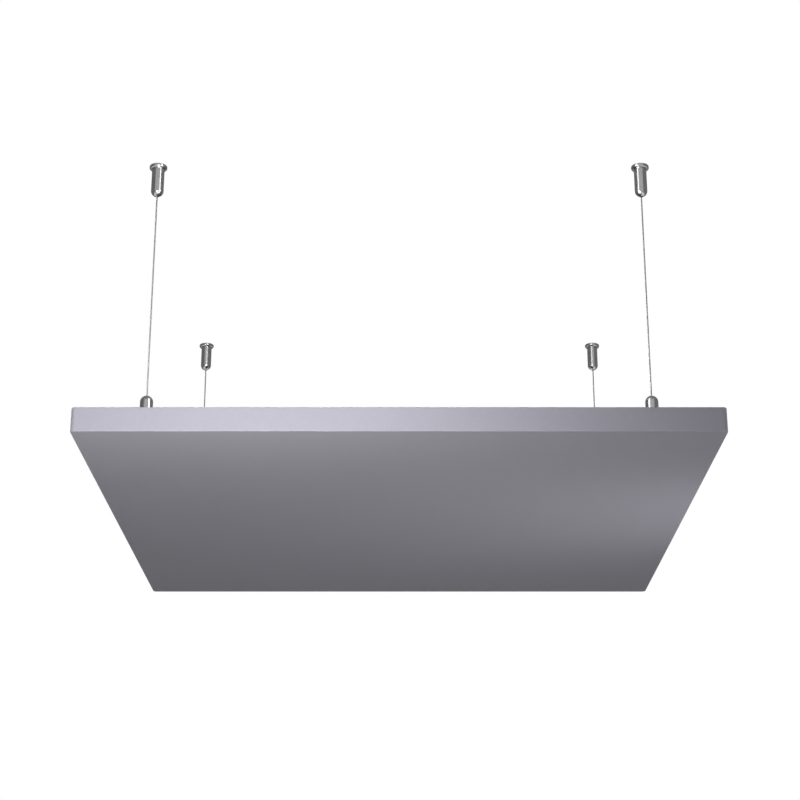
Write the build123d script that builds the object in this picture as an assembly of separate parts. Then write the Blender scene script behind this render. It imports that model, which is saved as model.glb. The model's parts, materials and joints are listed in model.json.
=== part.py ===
from build123d import *
import math
import os

# Suspended acoustic panel: a cloth-covered square slab hung from the ceiling on four steel wires.
# Millimetres, +Z up. The origin lies on the ceiling plane, midway between the four ceiling fittings.
# +X is to the right and +Y to the rear, seen from the front.

# Panel outline
PANEL_WIDTH = 600.0
PANEL_DEPTH = 600.0
CEILING_TO_UNDERSIDE = 300.0
FIXING_INSET = 60.0
CORNER_RADIUS = 4.0
EDGE_RADIUS = 0.6

# Panel layers, from the underside up
COVER_THICKNESS = 0.8
FLEECE_THICKNESS = 1.7
FRAME_HEIGHT = 19.4
FELT_THICKNESS = 0.8
COVER_RETURN = 35.0
LAYER_GAP = 0.1

# Frame, corner blocks and their inserts
RAIL_WIDTH = 20.0
BLOCK_SIZE = 62.0
BLOCK_CHAMFER = 16.0
CORE_GAP = 0.3
INSERT_RADIUS = 4.5
INSERT_LENGTH = 13.0
INSERT_LIP_RADIUS = 6.5
INSERT_LIP = 1.0
INSERT_GAP = 0.05

# Frame screws, from the rail's outer face into the corner block
SCREW_RADIUS = 1.9
SCREW_HEAD_RADIUS = 3.6
SCREW_LENGTH = 45.0
SCREW_FROM_RAIL_INSIDE = 14.0
SCREW_DRIVE_RADIUS = 1.3
SCREW_DRIVE_DEPTH = 1.6
SCREW_GAP = 0.05

# Staples over the turned-in edge of the cover
STAPLES_PER_SIDE = 11
STAPLE_CROWN = 10.0
STAPLE_WIRE = 0.6
STAPLE_LEG = 8.0
STAPLE_FROM_EDGE = 13.0
STAPLE_END_MARGIN = 55.0

# Fittings: the flange and the round-nosed barrel are the same size at the ceiling and on the panel
FITTING_HEIGHT = 33.5
FLANGE_RADIUS = 8.8
FLANGE_THICKNESS = 3.7
FLANGE_EDGE_RADIUS = 1.6
FLANGE_FACE_EDGE_RADIUS = 0.8
BARREL_RADIUS = 6.25
BARREL_WALL = 1.25
SPIGOT_LENGTH = 6.5
SPIGOT_GAP = 0.05
CEILING_SCREW_HOLE_RADIUS = 2.25
COUNTERSINK_RADIUS = 4.0
STUD_RADIUS = 3.0
STUD_LENGTH = 12.0
STUD_CHAMFER = 0.6
STUD_GAP = 0.05
FELT_HOLE_GAP = 0.3

# Ball joints inside the barrels
BALL_RADIUS = 2.5
SEAT_WALL = 0.6
RUNNING_GAP = 0.05
NOSE_WALL = 1.2
SEAT_HOLE_ANGLE = 28.0
SEAT_RIM_ANGLE = 78.0
MOUTH_INNER_RADIUS = 0.85
MOUTH_HALF_ANGLE = 12.0
MOUTH_CHAMFER = 0.25

# Wire, its stop ball, clamp and spare end
WIRE_RADIUS = 0.75
WIRE_ABOVE_BALL = 1.0
BALL_BORE_GAP = 0.02
CLAMP_LENGTH = 9.0
CLAMP_BORE_GAP = 0.05
CLAMP_END_CHAMFER = 0.4
CLAMP_SCREW_RADIUS = 1.0
CLAMP_SCREW_GAP = 0.03
CLAMP_SCREW_FROM_END = 2.6
CLAMP_SCREW_HEX = 0.9
CLAMP_SCREW_HEX_DEPTH = 0.9
PORT_RADIUS = 1.3
PORT_BELOW_CLAMP = 4.6

# Worked-out heights
PANEL_BOTTOM = -CEILING_TO_UNDERSIDE
FLEECE_BOTTOM = PANEL_BOTTOM + COVER_THICKNESS
FRAME_BOTTOM = FLEECE_BOTTOM + FLEECE_THICKNESS
FELT_BOTTOM = FRAME_BOTTOM + FRAME_HEIGHT
FELT_TOP = FELT_BOTTOM + FELT_THICKNESS
PANEL_TOP = FELT_TOP + COVER_THICKNESS
FRAME_MIDDLE = FRAME_BOTTOM + FRAME_HEIGHT / 2

# Worked-out plan sizes
INNER_WIDTH = PANEL_WIDTH - 2 * (COVER_THICKNESS + LAYER_GAP)
INNER_DEPTH = PANEL_DEPTH - 2 * (COVER_THICKNESS + LAYER_GAP)
INNER_CORNER_RADIUS = CORNER_RADIUS - COVER_THICKNESS - LAYER_GAP
OPEN_WIDTH = INNER_WIDTH - 2 * RAIL_WIDTH
OPEN_DEPTH = INNER_DEPTH - 2 * RAIL_WIDTH
FIXING_X = PANEL_WIDTH / 2 - FIXING_INSET
FIXING_Y = PANEL_DEPTH / 2 - FIXING_INSET

# Worked-out fitting sizes, measured along a fitting's axis from its mounting face
BORE_RADIUS = BARREL_RADIUS - BARREL_WALL
SEAT_OUTER_RADIUS = BALL_RADIUS + RUNNING_GAP + SEAT_WALL
POCKET_RADIUS = SEAT_OUTER_RADIUS + RUNNING_GAP
PIVOT_DEPTH = FITTING_HEIGHT - NOSE_WALL - POCKET_RADIUS
NOSE_CENTRE_DEPTH = FITTING_HEIGHT - BARREL_RADIUS
SPIGOT_END = FLANGE_THICKNESS + SPIGOT_LENGTH
TOP_PIVOT = -PIVOT_DEPTH
LOWER_PIVOT = FELT_TOP + PIVOT_DEPTH
WIRE_END = LOWER_PIVOT - CLAMP_LENGTH
PORT_HEIGHT = WIRE_END - PORT_BELOW_CLAMP

# The spare end's route from inside the port: the distance from the fitting's axis, and the height over
# the felt as a share of the port's
TAIL_ROUTE = [(2.2, 1.02), (10.0, 0.98), (18.5, 0.75), (26.0, 0.335), (34.0, 0.08)]
TAIL_BEND_SHARE = 0.45

FIXINGS = {
    "front_left": (-1, -1),
    "front_right": (1, -1),
    "rear_left": (-1, 1),
    "rear_right": (1, 1),
}


def round_slab(width, depth, corner_radius, bottom, height):
    """A flat slab with round corners, centred on the origin in plan."""
    outline = RectangleRounded(width, depth, corner_radius)
    return extrude(Plane.XY.offset(bottom) * outline, amount=height)


def rod(radius, start, length, direction=(0, 0, 1)):
    """A plain round rod from start along direction."""
    plane = Plane(origin=start, z_dir=direction)
    return extrude(plane * Circle(radius), amount=length)


def turned(points_and_arcs):
    """A solid of revolution about Z from a closed list of edges in the XZ plane."""
    return revolve(make_face(points_and_arcs), axis=Axis.Z)


def at_depth(radius, depth):
    """A point of a fitting's section: depth runs down from the mounting face."""
    return (radius, 0, -depth)


def edges_through(points):
    """Straight edges that join the points in order."""
    return [Line(a, b) for a, b in zip(points, points[1:])]


def rounded_arc(start, corner, end):
    """A quarter-round arc from start to end that bulges towards corner."""
    centre = (start[0] + end[0] - corner[0], 0, start[2] + end[2] - corner[2])
    share = 1 / math.sqrt(2)
    middle = (
        centre[0] + (corner[0] - centre[0]) * share,
        0,
        centre[2] + (corner[2] - centre[2]) * share,
    )
    return ThreePointArc(start, middle, end)


def base_outline(inner_points, spigot_radius):
    """The flange and spigot's outline, from the mounting face's rim round to the spigot's end."""
    face_rim = at_depth(FLANGE_RADIUS - FLANGE_FACE_EDGE_RADIUS, 0)
    side_top = at_depth(FLANGE_RADIUS, FLANGE_FACE_EDGE_RADIUS)
    side_end = at_depth(FLANGE_RADIUS, FLANGE_THICKNESS - FLANGE_EDGE_RADIUS)
    under_rim = at_depth(FLANGE_RADIUS - FLANGE_EDGE_RADIUS, FLANGE_THICKNESS)
    spigot_foot = at_depth(spigot_radius, FLANGE_THICKNESS)
    spigot_end = at_depth(spigot_radius, SPIGOT_END)
    return [
        Line(inner_points[-1], face_rim),
        rounded_arc(face_rim, at_depth(FLANGE_RADIUS, 0), side_top),
        Line(side_top, side_end),
        rounded_arc(side_end, at_depth(FLANGE_RADIUS, FLANGE_THICKNESS), under_rim),
        Line(under_rim, spigot_foot),
        Line(spigot_foot, spigot_end),
        Line(spigot_end, inner_points[0]),
    ] + edges_through(inner_points)


def ceiling_base():
    """Flange and spigot with a countersunk hole for the ceiling screw."""
    sink_depth = COUNTERSINK_RADIUS - CEILING_SCREW_HOLE_RADIUS
    inside = [
        at_depth(COUNTERSINK_RADIUS, SPIGOT_END),
        at_depth(CEILING_SCREW_HOLE_RADIUS, SPIGOT_END - sink_depth),
        at_depth(CEILING_SCREW_HOLE_RADIUS, 0),
    ]
    return turned(base_outline(inside, BORE_RADIUS - SPIGOT_GAP))


def panel_base():
    """Flange and spigot with a threaded stud on the mounting face."""
    inside = [
        at_depth(0, SPIGOT_END),
        at_depth(0, -STUD_LENGTH),
        at_depth(STUD_RADIUS - STUD_CHAMFER, -STUD_LENGTH),
        at_depth(STUD_RADIUS, -STUD_LENGTH + STUD_CHAMFER),
        at_depth(STUD_RADIUS, 0),
    ]
    return turned(base_outline(inside, BORE_RADIUS - SPIGOT_GAP))


def barrel():
    """Round-nosed shell with a spherical pocket for the seat and a flared mouth for the wire."""
    top = FLANGE_THICKNESS
    cone_start = PIVOT_DEPTH - (BORE_RADIUS - POCKET_RADIUS)
    nose_tip = at_depth(0, FITTING_HEIGHT)
    nose_rim = at_depth(BARREL_RADIUS, NOSE_CENTRE_DEPTH)
    nose_middle = at_depth(
        BARREL_RADIUS / math.sqrt(2), NOSE_CENTRE_DEPTH + BARREL_RADIUS / math.sqrt(2)
    )
    shell = turned(
        [
            Line(at_depth(0, top), at_depth(BARREL_RADIUS, top)),
            Line(at_depth(BARREL_RADIUS, top), nose_rim),
            ThreePointArc(nose_rim, nose_middle, nose_tip),
            Line(nose_tip, at_depth(0, top)),
        ]
    )
    bore = rod(BORE_RADIUS, at_depth(0, cone_start), cone_start - top)
    taper = turned(
        edges_through(
            [
                at_depth(0, cone_start),
                at_depth(BORE_RADIUS, cone_start),
                at_depth(POCKET_RADIUS, PIVOT_DEPTH),
                at_depth(0, PIVOT_DEPTH),
                at_depth(0, cone_start),
            ]
        )
    )
    pocket = Pos(0, 0, -PIVOT_DEPTH) * Sphere(POCKET_RADIUS)
    return shell - bore - taper - pocket - mouth()


def mouth():
    """The flared hole in the nose, with a small chamfer outside."""
    slope = math.tan(math.radians(MOUTH_HALF_ANGLE))
    reach = FITTING_HEIGHT - PIVOT_DEPTH + BARREL_WALL
    edge_depth = FITTING_HEIGHT - MOUTH_CHAMFER
    edge_radius = MOUTH_INNER_RADIUS + (edge_depth - PIVOT_DEPTH) * slope
    end_radius = MOUTH_INNER_RADIUS + reach * slope
    flare = turned(
        edges_through(
            [
                at_depth(0, PIVOT_DEPTH),
                at_depth(MOUTH_INNER_RADIUS, PIVOT_DEPTH),
                at_depth(end_radius, PIVOT_DEPTH + reach),
                at_depth(0, PIVOT_DEPTH + reach),
                at_depth(0, PIVOT_DEPTH),
            ]
        )
    )
    lip = turned(
        edges_through(
            [
                at_depth(0, edge_depth - edge_radius),
                at_depth(edge_radius + BARREL_WALL, edge_depth + BARREL_WALL),
                at_depth(0, edge_depth + BARREL_WALL),
                at_depth(0, edge_depth - edge_radius),
            ]
        )
    )
    return flare + lip


def seat():
    """Nylon ball seat: a zone of a spherical shell, open for the wire below and the ball above."""

    def on_shell(radius, angle):
        turn = math.radians(angle)
        return at_depth(radius * math.sin(turn), PIVOT_DEPTH + radius * math.cos(turn))

    inner = BALL_RADIUS + RUNNING_GAP
    outer = SEAT_OUTER_RADIUS
    middle_angle = (SEAT_HOLE_ANGLE + SEAT_RIM_ANGLE) / 2
    return turned(
        [
            ThreePointArc(
                on_shell(inner, SEAT_HOLE_ANGLE),
                on_shell(inner, middle_angle),
                on_shell(inner, SEAT_RIM_ANGLE),
            ),
            Line(on_shell(inner, SEAT_RIM_ANGLE), on_shell(outer, SEAT_RIM_ANGLE)),
            ThreePointArc(
                on_shell(outer, SEAT_RIM_ANGLE),
                on_shell(outer, middle_angle),
                on_shell(outer, SEAT_HOLE_ANGLE),
            ),
            Line(on_shell(outer, SEAT_HOLE_ANGLE), on_shell(inner, SEAT_HOLE_ANGLE)),
        ]
    )


def stop_ball():
    """Ball swaged on the wire's upper end."""
    bore = rod(WIRE_RADIUS + BALL_BORE_GAP, at_depth(0, PIVOT_DEPTH + BALL_RADIUS), 2 * BALL_RADIUS)
    return Pos(0, 0, -PIVOT_DEPTH) * Sphere(BALL_RADIUS) - bore


def suspension_wire():
    """The straight wire from just above the stop ball to the clamp's lower end."""
    top = TOP_PIVOT + BALL_RADIUS + WIRE_ABOVE_BALL
    return rod(WIRE_RADIUS, (0, 0, WIRE_END), top - WIRE_END)


def wire_clamp():
    """Ball-nosed clamp body with a bore for the wire and a threaded cross hole."""
    body = turned(
        [
            Line((0, 0, LOWER_PIVOT + BALL_RADIUS), (0, 0, WIRE_END)),
            Line((0, 0, WIRE_END), (BALL_RADIUS - CLAMP_END_CHAMFER, 0, WIRE_END)),
            Line(
                (BALL_RADIUS - CLAMP_END_CHAMFER, 0, WIRE_END),
                (BALL_RADIUS, 0, WIRE_END + CLAMP_END_CHAMFER),
            ),
            Line((BALL_RADIUS, 0, WIRE_END + CLAMP_END_CHAMFER), (BALL_RADIUS, 0, LOWER_PIVOT)),
            ThreePointArc(
                (BALL_RADIUS, 0, LOWER_PIVOT),
                (BALL_RADIUS / math.sqrt(2), 0, LOWER_PIVOT + BALL_RADIUS / math.sqrt(2)),
                (0, 0, LOWER_PIVOT + BALL_RADIUS),
            ),
        ]
    )
    bore = rod(WIRE_RADIUS + CLAMP_BORE_GAP, (0, 0, WIRE_END), CLAMP_LENGTH + BALL_RADIUS)
    cross_start = (0, 0, WIRE_END + CLAMP_SCREW_FROM_END)
    cross = rod(CLAMP_SCREW_RADIUS + CLAMP_SCREW_GAP, cross_start, BALL_RADIUS, (0, -1, 0))
    return body - bore - cross


def clamp_screw():
    """Socket grub screw that pinches the wire."""
    tip = WIRE_RADIUS + CLAMP_BORE_GAP
    height = WIRE_END + CLAMP_SCREW_FROM_END
    length = BALL_RADIUS - CLAMP_SCREW_GAP - tip
    screw = rod(CLAMP_SCREW_RADIUS, (0, -tip, height), length, (0, -1, 0))
    socket_plane = Plane(origin=(0, -tip - length, height), z_dir=(0, 1, 0))
    across_corners = CLAMP_SCREW_HEX / math.cos(math.radians(30)) / 2
    socket = extrude(
        socket_plane * RegularPolygon(across_corners, 6), amount=CLAMP_SCREW_HEX_DEPTH
    )
    return screw - socket


def on_panel(piece):
    """Turns a ceiling fitting's piece over and stands it on the panel's felt."""
    return Pos(0, 0, FELT_TOP) * Rot(180, 0, 0) * piece


def panel_barrel(inward):
    """The lower barrel, with the port for the wire's spare end on its inward side."""
    port = rod(PORT_RADIUS, (0, 0, PORT_HEIGHT), BARREL_RADIUS + BARREL_WALL, (inward, 0, 0))
    return on_panel(barrel()) - port


def wire_tail(inward):
    """The wire's spare end, a bent tube from inside the port down towards the felt."""
    drop = PORT_HEIGHT - FELT_TOP
    points = [(inward * x, 0, FELT_TOP + share * drop) for x, share in TAIL_ROUTE]
    radii = []
    for before, corner, after in zip(points, points[1:], points[2:]):
        run_in = Vector(corner) - Vector(before)
        run_out = Vector(after) - Vector(corner)
        half_turn = math.radians(run_in.get_angle(run_out)) / 2
        shorter = min(run_in.length, run_out.length)
        radii.append(TAIL_BEND_SHARE * shorter / math.tan(half_turn))
    path = FilletPolyline(*points, radius=radii)
    profile = Plane(origin=points[0], z_dir=path % 0) * Circle(WIRE_RADIUS)
    return sweep(profile, path=path), radii, path.length


def fabric_cover():
    """The cloth: a tray round the face and sides, turned in over the back."""
    height = PANEL_TOP - PANEL_BOTTOM
    outer = round_slab(PANEL_WIDTH, PANEL_DEPTH, CORNER_RADIUS, PANEL_BOTTOM, height)
    rims = outer.faces().filter_by(Axis.Z).edges()
    outer = fillet(rims, EDGE_RADIUS)
    inside_width = PANEL_WIDTH - 2 * COVER_THICKNESS
    inside_depth = PANEL_DEPTH - 2 * COVER_THICKNESS
    inside_corner = CORNER_RADIUS - COVER_THICKNESS
    inside = round_slab(
        inside_width, inside_depth, inside_corner, FLEECE_BOTTOM, FELT_TOP - FLEECE_BOTTOM
    )
    opening = Pos(0, 0, FELT_TOP + COVER_THICKNESS / 2) * Box(
        PANEL_WIDTH - 2 * COVER_RETURN, PANEL_DEPTH - 2 * COVER_RETURN, 2 * COVER_THICKNESS
    )
    return outer - inside - opening


def inner_slab(bottom, height):
    """A full-size inner layer, just clear of the cover's sides."""
    return round_slab(INNER_WIDTH, INNER_DEPTH, INNER_CORNER_RADIUS, bottom, height)


def fixing_rods(radius, bottom, height):
    """One round rod on each fitting's axis, for holes that follow the fittings."""
    return [
        rod(radius, (sx * FIXING_X, sy * FIXING_Y, bottom), height) for sx, sy in FIXINGS.values()
    ]


def back_felt():
    """The layer that closes the back, with a hole for each stud."""
    holes = fixing_rods(STUD_RADIUS + FELT_HOLE_GAP, FELT_BOTTOM, FELT_THICKNESS)
    return inner_slab(FELT_BOTTOM, FELT_THICKNESS) - holes


def screw_placements():
    """Each frame screw's head point and direction: one from each rail's end into a corner block."""
    places = []
    half_width = INNER_WIDTH / 2
    half_depth = INNER_DEPTH / 2
    for sx, sy in FIXINGS.values():
        along_x = sx * (OPEN_WIDTH / 2 - SCREW_FROM_RAIL_INSIDE)
        along_y = sy * (OPEN_DEPTH / 2 - SCREW_FROM_RAIL_INSIDE)
        lift = FRAME_HEIGHT / 6
        places.append(((sx * half_width, along_y, FRAME_MIDDLE - lift), (-sx, 0, 0)))
        places.append(((along_x, sy * half_depth, FRAME_MIDDLE + lift), (0, -sy, 0)))
    return places


def frame_screw(place, direction, gap):
    """A countersunk wood screw, larger by gap where it serves as the cutter for its hole."""
    plane = Plane(origin=place, z_dir=direction)
    shank = extrude(plane * Circle(SCREW_RADIUS + gap), amount=SCREW_LENGTH + gap)
    head_height = SCREW_HEAD_RADIUS - SCREW_RADIUS
    head = loft(
        [
            plane * Circle(SCREW_HEAD_RADIUS + gap),
            plane.offset(head_height) * Circle(SCREW_RADIUS + gap),
        ]
    )
    body = shank + head
    if gap == 0:
        body -= extrude(plane * Circle(SCREW_DRIVE_RADIUS), amount=SCREW_DRIVE_DEPTH)
    return body


def frame_rail(side_x, side_y, screw_holes):
    """One mitred rail of the frame, on the side that (side_x, side_y) points to."""
    ring = inner_slab(FRAME_BOTTOM, FRAME_HEIGHT)
    ring -= Pos(0, 0, FRAME_MIDDLE) * Box(OPEN_WIDTH, OPEN_DEPTH, 2 * FRAME_HEIGHT)
    outer_x = INNER_WIDTH / 2
    outer_y = INNER_DEPTH / 2
    inner_x = OPEN_WIDTH / 2
    inner_y = OPEN_DEPTH / 2
    if side_x:
        points = [
            (side_x * outer_x, -outer_y),
            (side_x * outer_x, outer_y),
            (side_x * inner_x, inner_y),
            (side_x * inner_x, -inner_y),
        ]
    else:
        points = [
            (-outer_x, side_y * outer_y),
            (outer_x, side_y * outer_y),
            (inner_x, side_y * inner_y),
            (-inner_x, side_y * inner_y),
        ]
    keep = extrude(
        Plane.XY.offset(FRAME_BOTTOM) * make_face(Polyline(*points, close=True)),
        amount=FRAME_HEIGHT,
    )
    return (ring & keep) - screw_holes


def block_outline(sx, sy, grow):
    """A corner block's plan, larger by grow on its two free sides and its chamfer."""
    corner_x = OPEN_WIDTH / 2
    corner_y = OPEN_DEPTH / 2
    size = BLOCK_SIZE + grow
    chamfer = BLOCK_CHAMFER
    points = [
        (corner_x, corner_y),
        (corner_x - size, corner_y),
        (corner_x - size, corner_y - size + chamfer),
        (corner_x - size + chamfer, corner_y - size),
        (corner_x, corner_y - size),
    ]
    return make_face(Polyline(*[(sx * x, sy * y) for x, y in points], close=True))


def corner_block(sx, sy, screw_holes):
    """The wooden block in a corner of the frame, bored for the insert."""
    block = extrude(
        Plane.XY.offset(FRAME_BOTTOM) * block_outline(sx, sy, 0), amount=FRAME_HEIGHT
    )
    insert_bottom = FELT_BOTTOM - INSERT_LENGTH - INSERT_GAP
    place = (sx * FIXING_X, sy * FIXING_Y)
    hole = rod(INSERT_RADIUS + INSERT_GAP, (*place, insert_bottom), INSERT_LENGTH + INSERT_GAP)
    lip_depth = INSERT_LIP + INSERT_GAP
    lip = rod(INSERT_LIP_RADIUS + INSERT_GAP, (*place, FELT_BOTTOM - lip_depth), lip_depth)
    return block - hole - lip - screw_holes


def absorber_core():
    """The absorber that fills the frame round the corner blocks."""
    width = OPEN_WIDTH - 2 * CORE_GAP
    depth = OPEN_DEPTH - 2 * CORE_GAP
    core = Pos(0, 0, FRAME_MIDDLE) * Box(width, depth, FRAME_HEIGHT)
    for sx, sy in FIXINGS.values():
        core -= extrude(
            Plane.XY.offset(FRAME_BOTTOM) * block_outline(sx, sy, CORE_GAP), amount=FRAME_HEIGHT
        )
    return core


def threaded_inserts():
    """Brass inserts in the corner blocks, one under each lower fitting."""
    inserts = []
    for sx, sy in FIXINGS.values():
        place = (sx * FIXING_X, sy * FIXING_Y)
        body = rod(INSERT_RADIUS, (*place, FELT_BOTTOM - INSERT_LENGTH), INSERT_LENGTH)
        body += rod(INSERT_LIP_RADIUS, (*place, FELT_BOTTOM - INSERT_LIP), INSERT_LIP)
        body -= rod(STUD_RADIUS + STUD_GAP, (*place, FELT_BOTTOM - INSERT_LENGTH), INSERT_LENGTH)
        inserts.append(body)
    return inserts


def staple():
    """One staple with its crown along X, standing on the turned-in cover at z = 0."""
    leg_offset = (STAPLE_CROWN - STAPLE_WIRE) / 2
    crown = Pos(0, 0, STAPLE_WIRE / 2) * Box(STAPLE_CROWN, STAPLE_WIRE, STAPLE_WIRE)
    body = crown
    for side in (-1, 1):
        leg = Box(STAPLE_WIRE, STAPLE_WIRE, STAPLE_LEG)
        body += Pos(side * leg_offset, 0, -STAPLE_LEG / 2) * leg
    return body


def staples():
    """Staples along all four sides of the turned-in cover, and one across each corner's fold."""
    pieces = []
    for turn in (0, 90, 180, 270):
        across = PANEL_WIDTH if turn % 180 == 0 else PANEL_DEPTH
        away = PANEL_DEPTH if turn % 180 == 0 else PANEL_WIDTH
        pitch = (across - 2 * STAPLE_END_MARGIN) / (STAPLES_PER_SIDE - 1)
        y = STAPLE_FROM_EDGE - away / 2
        for index in range(STAPLES_PER_SIDE):
            x = STAPLE_END_MARGIN - across / 2 + index * pitch
            pieces.append(Rot(0, 0, turn) * Pos(x, y, PANEL_TOP) * staple())
        corner = Pos(STAPLE_FROM_EDGE - across / 2, y, PANEL_TOP) * Rot(0, 0, -45)
        pieces.append(Rot(0, 0, turn) * corner * staple())
    return pieces


def fitting_nodes(name, sx, sy):
    """Every piece of one suspension point, keyed by node name."""
    place = Pos(sx * FIXING_X, sy * FIXING_Y, 0)
    tail, radii, length = wire_tail(-sx)
    print(f"wire_tail_{name}: length {length:.2f}, bend radii {[round(r, 1) for r in radii]}")
    pieces = {
        "ceiling_base": ceiling_base(),
        "ceiling_barrel": barrel(),
        "top_seat": seat(),
        "stop_ball": stop_ball(),
        "wire": suspension_wire(),
        "wire_clamp": wire_clamp(),
        "clamp_screw": clamp_screw(),
        "lower_seat": on_panel(seat()),
        "panel_barrel": panel_barrel(-sx),
        "panel_base": on_panel(panel_base()),
        "wire_tail": tail,
    }
    return {f"{piece}_{name}": place * shape for piece, shape in pieces.items()}


def panel_nodes():
    """Every piece of the panel itself, keyed by node name."""
    places = screw_placements()
    screw_holes = [frame_screw(place, direction, SCREW_GAP) for place, direction in places]
    nodes = {
        "fabric_cover": fabric_cover(),
        "face_fleece": inner_slab(FLEECE_BOTTOM, FLEECE_THICKNESS),
        "frame_rail_front": frame_rail(0, -1, screw_holes),
        "frame_rail_rear": frame_rail(0, 1, screw_holes),
        "frame_rail_left": frame_rail(-1, 0, screw_holes),
        "frame_rail_right": frame_rail(1, 0, screw_holes),
        "absorber_core": absorber_core(),
        "back_felt": back_felt(),
        "threaded_inserts": Compound(children=threaded_inserts()),
        "staples": Compound(children=staples()),
        "frame_screws": Compound(children=[frame_screw(p, d, 0) for p, d in places]),
    }
    for name, (sx, sy) in FIXINGS.items():
        nodes[f"corner_block_{name}"] = corner_block(sx, sy, screw_holes)
    return nodes


def main():
    nodes = panel_nodes()
    for name, (sx, sy) in FIXINGS.items():
        nodes.update(fitting_nodes(name, sx, sy))
    os.makedirs("parts", exist_ok=True)
    for name, shape in nodes.items():
        export_step(shape, f"parts/{name}.step")


main()
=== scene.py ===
import json
import math

import bmesh
import bpy
import numpy as np
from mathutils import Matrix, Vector


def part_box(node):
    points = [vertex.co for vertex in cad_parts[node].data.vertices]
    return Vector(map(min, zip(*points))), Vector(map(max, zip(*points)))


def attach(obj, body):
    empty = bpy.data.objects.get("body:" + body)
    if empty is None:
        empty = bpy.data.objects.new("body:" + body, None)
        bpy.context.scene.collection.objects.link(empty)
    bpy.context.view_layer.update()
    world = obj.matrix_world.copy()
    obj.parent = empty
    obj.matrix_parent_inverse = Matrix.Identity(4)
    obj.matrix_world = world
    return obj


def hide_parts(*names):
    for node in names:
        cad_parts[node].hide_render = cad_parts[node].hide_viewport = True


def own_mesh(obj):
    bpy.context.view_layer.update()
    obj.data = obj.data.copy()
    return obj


# Suspended acoustic panel: the cloth, felt, fleece, absorber and wire rope of the looks, and every
# finish. Metres, +Z up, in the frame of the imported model.

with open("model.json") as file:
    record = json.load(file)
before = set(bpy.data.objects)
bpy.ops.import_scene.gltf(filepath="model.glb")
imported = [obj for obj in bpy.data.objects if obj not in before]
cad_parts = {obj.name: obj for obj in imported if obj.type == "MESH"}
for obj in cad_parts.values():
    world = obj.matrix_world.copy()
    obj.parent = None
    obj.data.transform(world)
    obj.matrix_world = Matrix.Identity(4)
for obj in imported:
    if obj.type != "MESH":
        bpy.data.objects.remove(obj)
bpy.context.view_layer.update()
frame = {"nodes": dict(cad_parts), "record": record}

# Panel outline and layers
PANEL_HALF = 0.3
PANEL_BOTTOM = -0.3
COVER_THICKNESS = 0.0008
CORNER_RADIUS = 0.004
EDGE_RADIUS = 0.0006
COVER_RETURN = 0.035
FLEECE_BOTTOM = -0.2992
FRAME_BOTTOM = -0.2975
FELT_BOTTOM = -0.2781
FELT_TOP = -0.2773
PANEL_TOP = -0.2765
INNER_HALF = 0.2991
INNER_CORNER_RADIUS = 0.0031
CORE_GAP = 0.0003
BLOCK_CHAMFER = 0.016

# Fixings, on the corners of a square
FIXING = 0.24
FIXINGS = {
    "front_left": (-1, -1),
    "front_right": (1, -1),
    "rear_left": (-1, 1),
    "rear_right": (1, 1),
}
STUD_HOLE_RADIUS = 0.0033
STUD_HOLE_SIDES = 24
HOLE_CELL_HALF = 0.006

# Wire rope: a core and six strands laid round it
WIRE_TOP = -0.0256
WIRE_END = -0.2572
STRANDS = 6
STRAND_RADIUS = 0.00025
STRAND_CENTRE = 0.0005
ROPE_LAY = 0.0105
ROPE_STEPS_PER_TURN = 14
STRAND_SIDES = 8

# The spare end's route from inside the port: distance from the fitting's axis and height
TAIL_ROUTE = [
    (0.0022, -0.261484),
    (0.0100, -0.262104),
    (0.0185, -0.265669),
    (0.0260, -0.272103),
    (0.0340, -0.276056),
]

# Staples that hold the turned-in cloth
STAPLES_PER_SIDE = 11
STAPLE_FROM_EDGE = 0.013
STAPLE_END_MARGIN = 0.055
STAPLE_REACH = 0.005
STAPLE_HOLD = 0.0075
CORNER_HOLD = 0.0035

# Cloth
SIDE_STEPS = 96
CORNER_STEPS = 6
CORNER_STOPS = (0.004, 0.008, 0.012, 0.016)
GRID_INSET = 0.006
FOLD_LIFT = 0.0011
FOLD_REACH = 0.024
FOLD_ROLL = 0.0004
FOLD_UNDER_SHARE = 0.28
FOLD_START = 0.0015
FOLD_RISE = 0.007
STAPLE_PUFF = 0.0007
FELT_SWELL = 0.00018
FACE_SWELL = 0.00009
SIDE_SWELL = 0.00008
CUT_WAVE = 0.0007
THREAD_PITCH = 0.0007
COVER_COLOUR = (0.372, 0.361, 0.423)

# Camera: the photo's, about 20 degrees under the horizon
CAMERA_PLACE = (0.0008, -1.8587, -0.8383)
CAMERA_TILT_DEG = 110.04
CAMERA_LENS = 81.56
CAMERA_SENSOR = 36.0

FLOOR_HEIGHT = -2.6
FLOOR_GREY = 0.5
FLOOR_GLOW = 0.7
FLOOR_HALF = 80


def make_camera():
    data = bpy.data.cameras.new("camera")
    data.lens = CAMERA_LENS
    data.sensor_width = CAMERA_SENSOR
    data.clip_start = 0.01
    data.clip_end = 250
    camera = bpy.data.objects.new("camera", data)
    camera.location = CAMERA_PLACE
    camera.rotation_euler = (math.radians(CAMERA_TILT_DEG), 0, 0)
    bpy.context.scene.collection.objects.link(camera)
    bpy.context.scene.camera = camera


def make_piece(name, points, faces, material=None, smooth=True):
    """A mesh object at the origin, with its place in its vertices."""
    mesh = bpy.data.meshes.new(name)
    mesh.from_pydata([tuple(map(float, p)) for p in points], [], faces)
    mesh.validate()
    if smooth:
        mesh.shade_smooth()
    if material is not None:
        mesh.materials.append(material)
    piece = bpy.data.objects.new(name, mesh)
    bpy.context.scene.collection.objects.link(piece)
    return piece


def smooth_step(values):
    """0 below 0, 1 above 1 and a soft rise between."""
    share = np.clip(values, 0, 1)
    return share * share * (3 - 2 * share)


# Material graphs


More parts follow.
